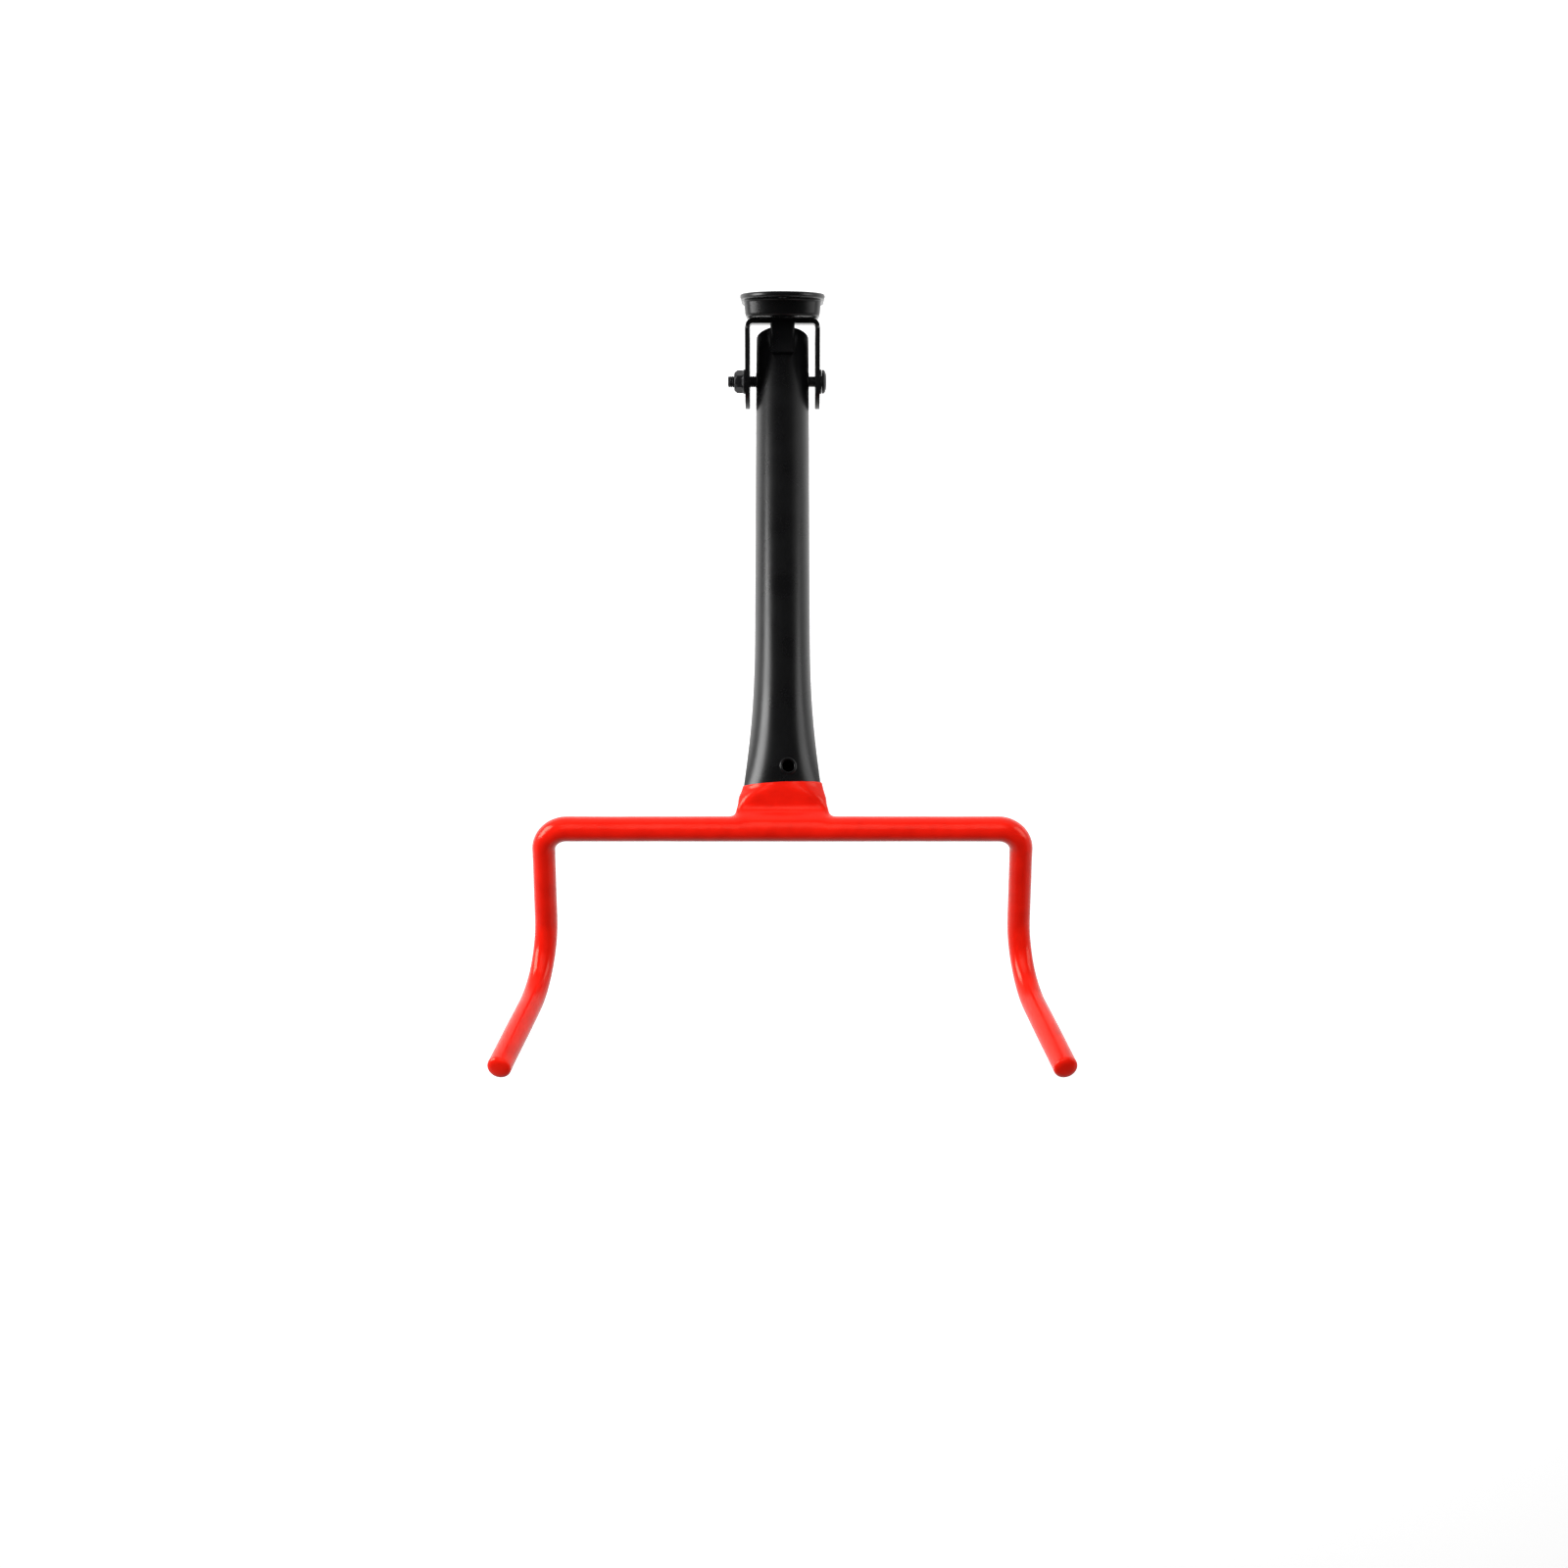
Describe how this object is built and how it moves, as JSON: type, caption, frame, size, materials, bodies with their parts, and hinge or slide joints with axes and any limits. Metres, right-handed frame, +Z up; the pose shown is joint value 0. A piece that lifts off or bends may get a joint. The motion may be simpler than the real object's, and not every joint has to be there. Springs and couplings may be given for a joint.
{
  "type": "wall-mounted bike rack",
  "caption": "Folding wall rack: dished wall plate, hinge bracket, round arm tube and a red dipped fork of bent rod that cradles a bicycle's top tube.",
  "frame": {"origin": "centre of the wall plate's back, on the wall", "axes": "+Z up, wall plane Y = 0 with the wall on the +Y side, the arm reaches towards -Y, X along the wall"},
  "size_m": [0.3538, 0.4717, 0.2553],
  "materials": {
    "black_powder_coat": "satin",
    "dark_hardware": "satin",
    "bare_steel": "satin",
    "weld_steel": "rough",
    "nylon": "matte",
    "red_dip_coat": "gloss"
  },
  "bodies": {
    "wall_bracket": {"wall_plate": "black_powder_coat", "hinge_bracket": "black_powder_coat", "plug_weld_left": "weld_steel", "plug_weld_right": "weld_steel", "web_weld": "weld_steel", "pivot_bolt": "dark_hardware", "head_washer": "dark_hardware", "lock_nut": "dark_hardware", "nut_insert": "nylon"},
    "arm": {"pivot_sleeve": "bare_steel", "arm_tube": "black_powder_coat", "fork_rod": "bare_steel", "rod_weld_upper": "weld_steel", "rod_weld_lower": "weld_steel", "fork_coating": "red_dip_coat"}
  },
  "joints": [
    {"name": "arm_fold", "type": "hinge", "parent": "wall_bracket", "child": "arm", "pos_m": [0, -0.055, 0.004], "axis": [-1, 0, 0], "range_deg": [0, 60.5]}
  ]
}
